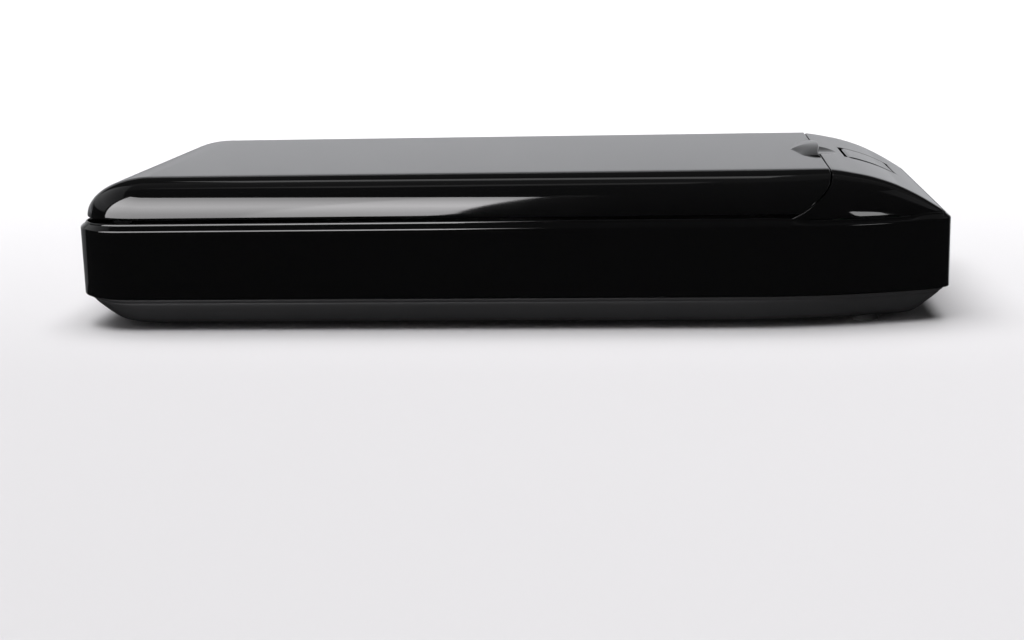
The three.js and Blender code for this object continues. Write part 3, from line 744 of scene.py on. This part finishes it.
# ------------------------------------------------------------------ control cover
def cover_surface():
    g = Grid()
    r = 0.28
    z_foot = 32.52 + r
    x_l = SEAM_X + r
    x_r = 129.75
    zb = COVER_ZB

    def point(x, t, s):
        """t: 0 at the lower edge, 90 degrees at the top of the roll. s: -1 front, 1 back."""
        top = cover_z(x)
        yt = min(ROLL_Y, band_y(x) - RIM_IN - 1.2)
        b = band_y(x) - RIM_IN - 0.15 - yt
        return (x, s * (yt + b * math.cos(t)), zb + (top - zb) * math.sin(t))

    nl = 26
    xs = [x_l]
    for a, b, n in ((x_l, 103.6, 20), (103.6, BTN["x0"] - 0.7, 4), (BTN["x0"] - 0.7, BTN["x1"] + 0.62, 22), (BTN["x1"] + 0.62, x_r, 12)):
        xs.extend(linspace(a, b, n + 1)[1:])
    for s in (-1, 1):
        # right part of the roll
        rows = []
        for i in range(nl + 1):
            row = []
            for x in xs:
                top = cover_z(x)
                z_low = z_foot - rim_drop(x)
                t_min = math.asin(min(1.0, max(-0.1, (z_low - zb) / max(top - zb, 1.2)))) * min(1.0, max(0.0, (124.0 - x) / 4.0))
                t = t_min + (math.pi / 2 - t_min) * i / nl
                row.append(point(x, t, s))
            rows.append(row)
        g.patch(rows, flip=(s > 0))
        # the part under the lid's rounded corner
        rows = []
        top = cover_z(90)
        z_low = z_foot - rim_drop(x_l)
        t_min = math.asin((z_low - zb) / (top - zb))
        for i in range(nl + 1):
            t = t_min + (math.pi / 2 - t_min) * i / nl
            z = zb + (top - zb) * math.sin(t)
            xl = min(x_l, float(seam_f(min(z, 45.3))) + r) if z < 44.6 else x_l
            rows.append([point(xl + (x_l - xl) * k / 10, t, s) for k in range(11)])
        g.patch(rows, flip=(s > 0))
    # top, with the dish and the hole for the button
    hx0, hx1, hy0, hy1 = BTN["x0"] - 0.7, BTN["x1"] + 0.62, BTN["y0"] - 0.4, BTN["y1"] + 0.42

    def yts(x):
        return min(ROLL_Y, band_y(x) - RIM_IN - 1.2)
    # rows as fractions, so that they end on the roll; in between they are straight lines of constant y
    ylines = [round(q, 4) for q in linspace(-12.0, 12.0, 49)] + [-44, -38, -32, -26, -20, -16, 14, 20, 25, 29.5, 38, 43]
    ylines = sorted([q for q in ylines if min(abs(q - hy0), abs(q - hy1)) > 0.3] + [hy0, hy1])
    rows = []
    for q in ["lo"] + ylines + ["hi"]:
        row = []
        for x in xs:
            y = -yts(x) if q == "lo" else yts(x) if q == "hi" else q
            row.append((x, y, dish_z(x, y, COVER_DISH, cover_z(x))))
        rows.append(row)
    base = len(g.v)
    for row in rows:
        g.v.extend(row)
    nj = len(xs)
    for i in range(len(rows) - 1):
        for j in range(nj - 1):
            y0 = rows[i][j][1]
            y1 = rows[i + 1][j][1]
            if hx0 - 1e-6 <= xs[j] and xs[j + 1] <= hx1 + 1e-6 and y0 >= hy0 - 1e-6 and y1 <= hy1 + 1e-6:
                continue
            a, b, c, d = base + i * nj + j, base + i * nj + j + 1, base + (i + 1) * nj + j + 1, base + (i + 1) * nj + j
            g.f.append([a, b, c, d])
    return g.v, g.f


def join(parts):
    vs, fs = [], []
    for v_, f_ in parts:
        k = len(vs)
        vs.extend(v_)
        fs.extend([[i + k for i in q] for q in f_])
    return vs, fs


def cover_end_wall():
    """The upright wall that closes the cover towards the chamber; its top follows the finger dish."""
    ys = linspace(-58.6, 58.6, 181)
    zb = COVER_ZB
    top0 = cover_z(SEAM_X)
    yt = ROLL_Y
    b = band_y(SEAM_X) - RIM_IN - 0.15 - yt
    vs, fs = [], []
    for x in (SEAM_X + 0.02, SEAM_X + 2.0):
        for y in ys:
            if abs(y) <= yt:
                z = dish_z(x, y, COVER_DISH, cover_z(x))
            else:
                z = zb + (cover_z(x) - zb) * math.sqrt(max(0.0, 1 - ((abs(y) - yt) / b) ** 2))
            vs.append((x, y, z - 0.3))
        for y in ys:
            vs.append((x, y, 33.6))
    n_ = len(ys)
    for i in range(n_ - 1):
        fs.append([i, i + 1, n_ + i + 1, n_ + i])
        fs.append([2 * n_ + i, 3 * n_ + i, 3 * n_ + i + 1, 2 * n_ + i + 1])
        fs.append([i, 2 * n_ + i, 2 * n_ + i + 1, i + 1])
        fs.append([n_ + i, n_ + i + 1, 3 * n_ + i + 1, 3 * n_ + i])
    for i in (0, n_ - 1):
        fs.append([i, n_ + i, 3 * n_ + i, 2 * n_ + i])
    return vs, fs


v, f = join([shell_from_surface(*cover_surface(), 1.7, 0.28), cover_end_wall()])
cover = obj_from("control_deck", v, f, M_GLOSS, "base", 38)
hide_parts("control_cover")


# ------------------------------------------------------------------ band
def band_mesh():
    rim_prof = []
    w = RIM_IN
    e = 0.35
    # outer lower edge, wall, shoulder, rim, inner wall
    pts = [(e, BAND_LO), (e * 0.3, BAND_LO + e * 0.3), (0, BAND_LO + e)]
    pts += [(0, z) for z in (14, 19.3, 23.7, 27.5)]
    pts += [(0, BAND_HI - 0.6), (0, BAND_HI - 0.32), (0, BAND_HI - 0.28)]
    pts += [(0.012, BAND_HI - 0.18), (0.048, BAND_HI - 0.08), (0.11, BAND_HI + 0.02), (0.19, BAND_HI + 0.1)]
    pts += [(0.215, BAND_HI + 0.121), (0.53, 31.155), (1.02, 31.525), (1.47, 31.862), (1.51, 31.895)]
    pts += [(1.525, 31.99), (1.55, 32.1), (1.59, 32.21), (1.67, 32.31), (1.79, 32.4), (1.92, 32.47), (w + 0.03, 32.5)]
    pts += [(w + 0.12, RIM_Z - 0.12), (w + 0.18, RIM_Z - 0.24)]
    pts += [(w + 0.18, z) for z in (27.5, 23.7, 19.3, 14, BAND_LO)]
    return [(a, 0.0, z) for a, z in pts]


prof = band_mesh()
v, f = sweep(prof)
v = [(x, y, z - rim_drop(x) * (0.4 * min(1.0, max(0.0, (z - 27.5) / 2.6)) + 0.6 * min(1.0, max(0.0, (z - 31.0) / 0.9)))
      + rim_rise(x) * min(1.0, max(0.0, (z - 30.93) / 0.93))) for x, y, z in v]
# opening for the power inlet in the button end
n = len(OUT)
zs = [p[2] for p in prof]
i_out = (zs.index(19.3), zs.index(23.7))
rev = len(zs) - 1 - zs[::-1].index(19.3), len(zs) - 1 - zs[::-1].index(23.7)
js = [j for j, p in enumerate(OUT) if abs(p[0] - LENGTH / 2) < 1e-6 and abs(p[1]) <= 5.11]
js.sort(key=lambda j: OUT[j][1])
drop = set()
for k in range(len(js) - 1):
    a, b = js[k], js[k + 1]
    drop.add((i_out[0], min(a, b)))
    drop.add((min(rev), min(a, b)))
keep = []
for idx, face in enumerate(f):
    i, j = divmod(idx, n)
    if (i, j) in drop:
        continue
    keep.append(face)


def vid(i, j):
    return i * n + j


lo_o, hi_o = i_out[0], i_out[1]
hi_i, lo_i = min(rev), max(rev)
for k in range(len(js) - 1):
    a, b = js[k], js[k + 1]
    keep.append([vid(lo_o, a), vid(lo_i, a), vid(lo_i, b), vid(lo_o, b)])
    keep.append([vid(hi_o, a), vid(hi_o, b), vid(hi_i, b), vid(hi_i, a)])
for j in (js[0], js[-1]):
    keep.append([vid(lo_o, j), vid(hi_o, j), vid(hi_i, j), vid(lo_i, j)])
band = obj_from("gloss_band", v, keep, M_GLOSS, "base", 30)
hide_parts("band_housing")


# ------------------------------------------------------------------ bottom shell
HULL = [(1.4, 0.35, 9.6), (3.6, 0.5, 7.6), (6.2, 1.0, 5.4), (8.5, 2.1, 3.4), (10.0, 4.0, 2.1), (11.3, 7.0, 1.2)]
hull_x = hermite([(-z, dx) for dx, dy, z in HULL])
hull_y = hermite([(-z, dy) for dx, dy, z in HULL])
WELLS = [(x, y, 3.1, 4.6) for x, y in ((-114, 30), (-114, -30), (118, 34), (118, -34))]
WELLS += [(x, y, 4.5, 2.1) for x in (-108, 108) for y in (-49.8, 49.8)]


def bottom_mesh():
    """Raked ends and steep sides, with a bead and a groove under the band, foot pockets and screw wells."""
    zs_ = [9.6, 9.5, 9.4, 9.2, 9.0, 8.86, 8.76, 8.66, 8.5, 8.38, 8.3]
    extra = [0.14, 0.05, 0.01, 0.0, 0.02, 0.06, 0.13, 0.18, 0.18, 0.12, 0.05]
    zs_ += linspace(8.1, 1.32, 30)
    extra += [0.02] + [0.0] * 29
    prof_ = [(2.6, (0, 0), 12.2), (2.5, (0.9, 0), 9.7)]
    prof_ += [(e_, (float(hull_x(-z)), float(hull_y(-z))), z) for z, e_ in zip(zs_, extra)]
    for q in (0.35, 0.7, 1.0):
        prof_.append((0, (11.1 + 0.55 * q, 6.6 + 0.9 * q), 1.32 - 0.12 * math.sin(q * math.pi / 2)))
    return prof_


def circle(x, y, r, n_=36):
    return [(x + r * math.cos(2 * math.pi * i / n_), y + r * math.sin(2 * math.pi * i / n_)) for i in range(n_)]


prof = bottom_mesh()
v, f = sweep(prof, closed=False)
n = len(OUT)
last = (len(prof) - 1) * n
z_low = prof[-1][2]
# bottom face with its round openings, as a constrained triangulation
pts2 = [Vector((v[last + j][0], v[last + j][1])) for j in range(n)]
loops = [list(range(n))]
for x, y, r, zt in WELLS:
    start = len(pts2)
    pts2 += [Vector(q) for q in circle(x, y, r)]
    loops.append(list(range(start, len(pts2))))
edges = [(lp[i], lp[(i + 1) % len(lp)]) for lp in loops for i in range(len(lp))]
cv, ce, cf, ov_, oe_, of_ = delaunay_2d_cdt(pts2, edges, [], 0, 1e-5)
index = {}
for i, q in enumerate(cv):
    src = ov_[i]
    if src and src[0] < n:
        index[i] = last + src[0]
    else:
        index[i] = len(v)
        v.append((q.x, q.y, z_low))
poly = [v[last + j][:2] for j in range(n)]


for tri in cf:
    cx_ = sum(cv[i].x for i in tri) / len(tri)
    cy_ = sum(cv[i].y for i in tri) / len(tri)
    if any(math.hypot(cx_ - x, cy_ - y) < r * 0.995 for x, y, r, zt in WELLS) or not inside(cx_, cy_, poly):
        continue
    f.append([index[i] for i in tri])
for x, y, r, zt in WELLS:
    ring0 = circle(x, y, r)
    base_i = len(v)
    for z in (z_low, zt):
        v += [(a_, b_, z) for a_, b_ in ring0]
    v.append((x, y, zt))
    m_ = len(ring0)
    for i in range(m_):
        k = (i + 1) % m_
        f.append([base_i + i, base_i + k, base_i + m_ + k, base_i + m_ + i])
        f.append([base_i + m_ + i, base_i + m_ + k, base_i + 2 * m_])
# inside skin
start = len(v)
for ins, sq, z in ((3.4, (0, 0), 12.2), (3.4, (2.6, 0), 8.6), (3.4, (6.5, 1.0), 5.6), (3.4, (10.5, 4.5), 3.6)):
    v.extend(loop_at(ins, z, sq))
for j in range(n):
    f.append([0 + j, start + j, start + (j + 1) % n, 0 + (j + 1) % n])
for i in range(3):
    for j in range(n):
        a = start + i * n
        f.append([a + j, a + n + j, a + n + (j + 1) % n, a + (j + 1) % n])
c = len(v)
v.append((0, 0, 3.6))
a = start + 3 * n
for j in range(n):
    f.append([a + j, c, a + (j + 1) % n])
bottom = obj_from("bottom_hull", v, f, M_MATTE, "base", 32)
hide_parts("bottom_shell")


# ------------------------------------------------------------------ button cap
def button_mesh():
    g = Grid()
    r = 0.25
    xs = linspace(BTN["x0"] + 0.55 + r, BTN["x1"] - 0.2 - r, 36)
    ys = linspace(BTN["y0"] + r, BTN["y1"] - r, 20)
    rows = []
    for y in ys:
        w = (y - BTN["y0"]) / (BTN["y1"] - BTN["y0"])
        row = []
        for x in xs:
            u = (x - BTN["x0"]) / (BTN["x1"] - BTN["x0"])
            lift = 0.2 * (1 - 0.8 * w * w) * (1 - 0.8 * u * u) - 0.02
            z = cover_z(x) + lift - 0.8 * max(0.0, 1 - (x - BTN["x0"]) / 1.9) ** 2
            row.append((x, y, z - 0.45 * max(0.0, 1 - (BTN["x1"] - x) / 1.2) ** 2))
        rows.append(row)
    g.patch(rows)
    return g.v, g.f


v, f = button_mesh()
v, f = shell_from_surface(v, f, 3.0, 0.25)
cap = obj_from("button_cap", v, f, M_GLOSS, "button", 38)
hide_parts("power_button")


# ------------------------------------------------------------------ inner parts: rounded edges on every piece
def refine(name, edge_mm, steps=2, smooth_deg=60):
    """The same piece with merged flats and rounded edges."""
    src = frame["nodes"][name]
    sp = next(q for q in frame["record"]["subparts"] if q["node"] == name)
    bm = bmesh.new()
    bm.from_mesh(src.data)
    bm.transform(src.matrix_world)
    bmesh.ops.remove_doubles(bm, verts=bm.verts, dist=2e-6)
    bmesh.ops.dissolve_limit(bm, angle_limit=math.radians(0.6), verts=bm.verts, edges=bm.edges, delimit={"NORMAL"})
    sharp = [e for e in bm.edges if len(e.link_faces) == 2 and e.calc_face_angle(0.0) > math.radians(33)]
    bmesh.ops.bevel(bm, geom=sharp, offset=edge_mm * MM, offset_type="OFFSET", segments=steps, profile=0.5,
                    affect="EDGES", clamp_overlap=True)
    me = bpy.data.meshes.new(name + "_fine")
    bm.to_mesh(me)
    bm.free()
    o = bpy.data.objects.new(name + "_fine", me)
    bpy.context.scene.collection.objects.link(o)
    # the listed screws, brackets and pins get near-black steel, painted shade where they show through the gaps
    mat = M_TRAY if name == TRAY else M_SHADE_BLACK if name in SHADE_BLACK_PARTS else NODE_MATS[sp["material_slot"]]
    finish_mesh(o, mat, BODY_OF[name])
    weighted_normals(o, smooth_deg)
    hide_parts(name)
    return o


def weighted_normals(o, limit_deg):
    """Shading normals that follow the large faces, so that only the rounded edges are shaded as curved."""
    me = o.data
    near = [[] for _ in me.vertices]
    for q in me.polygons:
        for vi in q.vertices:
            near[vi].append((q.area * q.area, q.normal.copy()))
    lim = math.cos(math.radians(limit_deg))
    out = [None] * len(me.loops)
    for q in me.polygons:
        for li in q.loop_indices:
            t = Vector((0, 0, 0))
            for w, n_ in near[me.loops[li].vertex_index]:
                if n_.dot(q.normal) > lim:
                    t += n_ * w
            out[li] = t.normalized() if t.length > 0 else q.normal.copy()
    me.normals_split_custom_set(out)


for side, y0, y1 in (("front", -47.8, -43.6), ("rear", 43.6, 47.8)):
    plate_xz("hinge_lug_" + side, LUG, [ring_xz(AXIS[0], AXIS[1], 1.85, 28)], y0, y1, M_GLOSS, "lid", 0.25)

TRAY = "chamber_tray"
# painted shade: these screws, hinge brackets and pins are coloured near-black so that where they show through the gaps
# they stand in for the shade there
SHADE_BLACK_PARTS = ("liner_screw_1", "liner_screw_2", "liner_screw_3", "liner_screw_4", "hinge_bracket_front", "hinge_bracket_rear", "hinge_pin_front", "hinge_pin_rear", "bracket_screw_front",
        "bracket_screw_rear")
BODY_OF = {q: body for body, names in frame["record"]["behaviour"]["bodies"].items() for q in names}
OUTER = {"lid_shell", "control_cover", "band_housing", "bottom_shell", "power_button"}
EDGE = {"chamber_tray": 0.5, "lid_liner": 0.4, "phone_rack": 0.35, "main_board": 0.12, "base_uvc_board": 0.12,
        "lid_uvc_board": 0.12, "hinge_bracket_front": 0.25, "hinge_bracket_rear": 0.25, "driver_inductor": 0.3,
        "filter_capacitor": 0.3, "lid_magnet": 0.25, "cable_connector": 0.2}
for sp in frame["record"]["subparts"]:
    if sp["node"] not in OUTER:
        refine(sp["node"], EDGE.get(sp["node"], 0.15))


# ------------------------------------------------------------------ stage, light and camera
def stage_mat(name, col, rough):
    m, nt, b = new_mat(name)
    n_ = noise(nt, obj_coords(nt), 3.0, 2.0, 0.5)
    nt.links.new(ramp(nt, n_, [(0.2, tuple(c * 0.985 for c in col) + (1,)), (0.8, col + (1,))]), b.inputs["Base Color"])
    b.inputs["Roughness"].default_value = rough
    b.inputs["Specular IOR Level"].default_value = 0.2
    return m


def plane(name, vs, m):
    me = bpy.data.meshes.new(name)
    me.from_pydata(vs, [], [[0, 1, 2, 3]])
    o = bpy.data.objects.new(name, me)
    bpy.context.scene.collection.objects.link(o)
    me.materials.append(m)
    return o


def backdrop():
    # pale table top, a little darker near the object than at the back
    m, nt, b = new_mat("floor_paper")
    n_ = noise(nt, obj_coords(nt), 3.0, 2.0, 0.5)
    sep = nt.nodes.new("ShaderNodeSeparateXYZ")
    nt.links.new(obj_coords(nt), sep.inputs[0])
    depth = maprange(nt, sep.outputs[1], -0.12, 0.5, 0.0, 1.0)
    shade = ramp(nt, depth, [(0.0, (0.63, 0.62, 0.635, 1)), (1.0, (0.88, 0.875, 0.89, 1))])
    tone = ramp(nt, n_, [(0.2, (0.985, 0.985, 0.985, 1)), (0.8, (1, 1, 1, 1))])
    nt.links.new(mix_rgb(nt, 1.0, shade, tone, "MULTIPLY"), b.inputs["Base Color"])
    b.inputs["Roughness"].default_value = 0.85
    b.inputs["Specular IOR Level"].default_value = 0.2
    floor = plane("floor", [(-9, -5, 0), (9, -5, 0), (9, 12, 0), (-9, 12, 0)], m)
    floor.visible_glossy = False
    m, nt, b = new_mat("wall_paper")
    n_ = noise(nt, obj_coords(nt), 3.0, 2.0, 0.5)
    nt.links.new(ramp(nt, n_, [(0.2, (0.10, 0.10, 0.10, 1)), (0.8, (0.12, 0.12, 0.12, 1))]), b.inputs["Base Color"])
    b.inputs["Roughness"].default_value = 0.9
    # lit evenly low down, dimmer towards its top and towards its left end
    sep = nt.nodes.new("ShaderNodeSeparateXYZ")
    nt.links.new(obj_coords(nt), sep.inputs[0])
    rise = ramp(nt, maprange(nt, sep.outputs[2], 0.0, 1.8, 0.0, 1.0),
                [(0.0, grey(1.0)), (0.31, grey(1.0)), (0.42, grey(0.78)), (0.6, grey(0.45)), (1.0, grey(0.26))])
    low = ramp(nt, maprange(nt, sep.outputs[2], -0.5, 0.4, 0.0, 1.0), [(0.0, grey(0.34)), (0.55, grey(0.66)), (1.0, grey(1.0))])
    at_left = ramp(nt, maprange(nt, sep.outputs[0], 0.2, 0.9, 0.0, 1.0), [(0.0, grey(1.0)), (1.0, grey(0.0))])
    left = mix_rgb(nt, at_left, (1.0, 1.0, 1.0, 1.0), low)
    glow = ramp(nt, n_, [(0.2, (0.955, 0.965, 1.0, 1)), (0.8, (0.975, 0.985, 1.02, 1))])
    glow = mix_rgb(nt, 1.0, mix_rgb(nt, 1.0, glow, rise, "MULTIPLY"), left, "MULTIPLY")
    nt.links.new(glow, b.inputs["Emission Color"])
    b.inputs["Emission Strength"].default_value = 0.535
    wall = plane("back_wall", [(-9, 3.6, -1.3), (5, 3.6, -1.3), (5, 3.6, 1.8), (-9, 3.6, 1.8)], m)
    wall.visible_camera = False
    wall.visible_shadow = False


backdrop()


def card(name, corners, strength, col=(1, 1, 1), bands=None):
    """A plain soft panel: a softbox or reflector card outside the picture."""
    me = bpy.data.meshes.new(name)
    me.from_pydata(corners, [], [list(range(len(corners)))])
    o = bpy.data.objects.new(name, me)
    bpy.context.scene.collection.objects.link(o)
    m = bpy.data.materials.new(name)
    m.use_nodes = True
    nt = m.node_tree
    nt.nodes.clear()
    out = nt.nodes.new("ShaderNodeOutputMaterial")
    em = nt.nodes.new("ShaderNodeEmission")
    nt.links.new(em.outputs[0], out.inputs[0])
    n_ = noise(nt, obj_coords(nt), 2.2, 2.0, 0.5)
    lo, hi = tuple(c * 0.95 for c in col) + (1,), tuple(col) + (1,)
    colour = ramp(nt, n_, [(0.25, lo), (0.75, hi)])
    if bands:
        # a lit window: brightest in a belt at mid height, a little dimmer beyond one upright line
        sep = nt.nodes.new("ShaderNodeSeparateXYZ")
        nt.links.new(obj_coords(nt), sep.inputs[0])
        z_ = maprange(nt, sep.outputs[2], bands["z0"], bands["z1"], 0.0, 1.0)
        belt = ramp(nt, z_, [(q, grey(g)) for q, g in bands["belt"]])
        side = math_node(nt, "DIVIDE", sep.outputs[0], sep.outputs[1])
        side = ramp(nt, side, [(0.0, grey(1.0)), (bands["split"], grey(1.0)), (bands["split"] + 0.006, grey(bands["dim"]))])
        colour = mix_rgb(nt, 1.0, mix_rgb(nt, 1.0, colour, belt, "MULTIPLY"), side, "MULTIPLY")
    nt.links.new(colour, em.inputs["Color"])
    em.inputs["Strength"].default_value = strength
    me.materials.append(m)
    return o


def direction(az, el):
    a, e = math.radians(az), math.radians(el)
    return Vector((math.sin(a) * math.cos(e), math.cos(a) * math.cos(e), math.sin(e)))


def sky_card(name, az0, az1, el0, el1, dist, strength, col=(1, 1, 1), bands=None, corners=None):
    """A flat panel that fills this range of directions as seen from the object, near enough."""
    mid = direction((az0 + az1) / 2, (el0 + el1) / 2)
    pts = []
    for a_, e_ in corners or ((az0, el0), (az1, el0), (az1, el1), (az0, el1)):
        d = direction(a_, e_)
        pts.append(d * (dist / max(0.2, d.dot(mid))))
    return card(name, pts, strength, col, bands)


world = bpy.data.worlds.new("studio")
bpy.context.scene.world = world
world.use_nodes = True
wn = world.node_tree
wn.nodes["Background"].inputs[0].default_value = (1.0, 1.0, 1.0, 1)
wn.nodes["Background"].inputs[1].default_value = 0.02


def area(name, loc, target, sx, sy, power, col=(1, 1, 1), glossy=True):
    l = bpy.data.lights.new(name, "AREA")
    l.shape = "RECTANGLE"
    l.size, l.size_y = sx, sy
    l.energy = power
    l.color = col
    o = bpy.data.objects.new(name, l)
    bpy.context.scene.collection.objects.link(o)
    o.location = loc
    d = Vector(target) - Vector(loc)
    o.rotation_euler = d.to_track_quat("-Z", "Y").to_euler()
    o.visible_glossy = glossy
    return o


sun = bpy.data.lights.new("soft_sky", "SUN")
sun.energy = 4.6
sun.angle = math.radians(70)
so = bpy.data.objects.new("soft_sky", sun)
bpy.context.scene.collection.objects.link(so)
so.rotation_euler = (math.radians(-6), math.radians(-8), 0)
so.visible_glossy = False

# the window panel at the front left, and two dim strips above and behind
win = sky_card("window", -174, -112, -2, 58, 1.6, 13.3, (1.0, 0.985, 1.0),
         dict(z0=-0.064, z1=1.567, belt=[(0.0, 0.56), (0.3, 0.7), (0.62, 1.0), (0.8, 0.85), (1.0, 0.58)], split=0.2906, dim=0.84),
               ((-171.4, -2), (-112, -2), (-112, 58), (-172.4, 58), (-172.6, 27), (-172.5, 8)))
win.visible_diffuse = False
sky_card("strip_high", -28, 70, 46, 54, 2.2, 0.85, corners=((-28, 46), (14, 57.45), (14, 64.35), (-28, 54)))
sky_card("strip_top", -60, 60, 66, 76, 2.2, 0.36, corners=((-60, 66), (14, 77.08), (14, 82.68), (-60, 76)))
# a small panel at the front right: it lights the rounded edge of the lid at the seam and shows low on the cover's side
card("edge_light", [Vector((0.1075, -0.057, 0.032)) + direction(*q) * 2.0 for q in
                    ((150.9, 6.8), (146.4, -6.6), (142.3, -6.6), (140.2, -3.2), (141.7, 3.4), (144.7, 5.9), (148.8, 7.6))], 5.8)
# dim ceiling over the back wall
ceiling = sky_card("ceiling", -70, 70, 27, 64, 2.6, 0.2, (1, 1, 1), dict(z0=1.15, z1=2.6, belt=[(0.0, 1.0), (0.5, 0.7), (1.0, 0.35)], split=9.0, dim=1.0))
ceiling.visible_shadow = False
ceiling.visible_diffuse = False
# two dim soft panels at the sides, which show the form from other angles
for name, a0, a1, power in (("side_left", -108, -46, 0.5), ("side_right", 72, 112, 0.3)):
    side_panel = sky_card(name, a0, a1, 14, 52, 2.4, power, (0.97, 0.98, 1.0),
                          dict(z0=0.5, z1=2.0, belt=[(0.0, 0.55), (0.5, 1.0), (1.0, 0.5)], split=9.0, dim=1.0))
    side_panel.visible_shadow = False
    side_panel.visible_diffuse = False

scene = bpy.context.scene
scene.view_settings.view_transform = "Standard"
scene.view_settings.look = "None"
scene.view_settings.exposure = 0.0
scene.render.film_transparent = False

F_PX, YAW, PITCH, ROLL = 1691.4868, -0.097383, 0.214856, -0.024637
POS = (50.5263, -555.7800, 110.6602)
cy, sy = math.cos(YAW), math.sin(YAW)
cp, sp = math.cos(PITCH), math.sin(PITCH)
cr, sr = math.cos(ROLL), math.sin(ROLL)
fwd = Vector((sy * cp, cy * cp, -sp))
right = Vector((cy, -sy, 0))
up = right.cross(fwd)
r2 = right * cr + up * sr
u2 = right * -sr + up * cr
cam = bpy.data.cameras.new("camera")
cam.sensor_width = 36.0
cam.sensor_fit = "HORIZONTAL"
cam.lens = F_PX / 1024 * 36.0
cam.clip_start = 0.01
cam.clip_end = 50
co = bpy.data.objects.new("camera", cam)
scene.collection.objects.link(co)
mat = Matrix((
    (r2.x, u2.x, -fwd.x, POS[0] * MM),
    (r2.y, u2.y, -fwd.y, POS[1] * MM),
    (r2.z, u2.z, -fwd.z, POS[2] * MM),
    (0, 0, 0, 1)))
co.matrix_world = mat
scene.camera = co
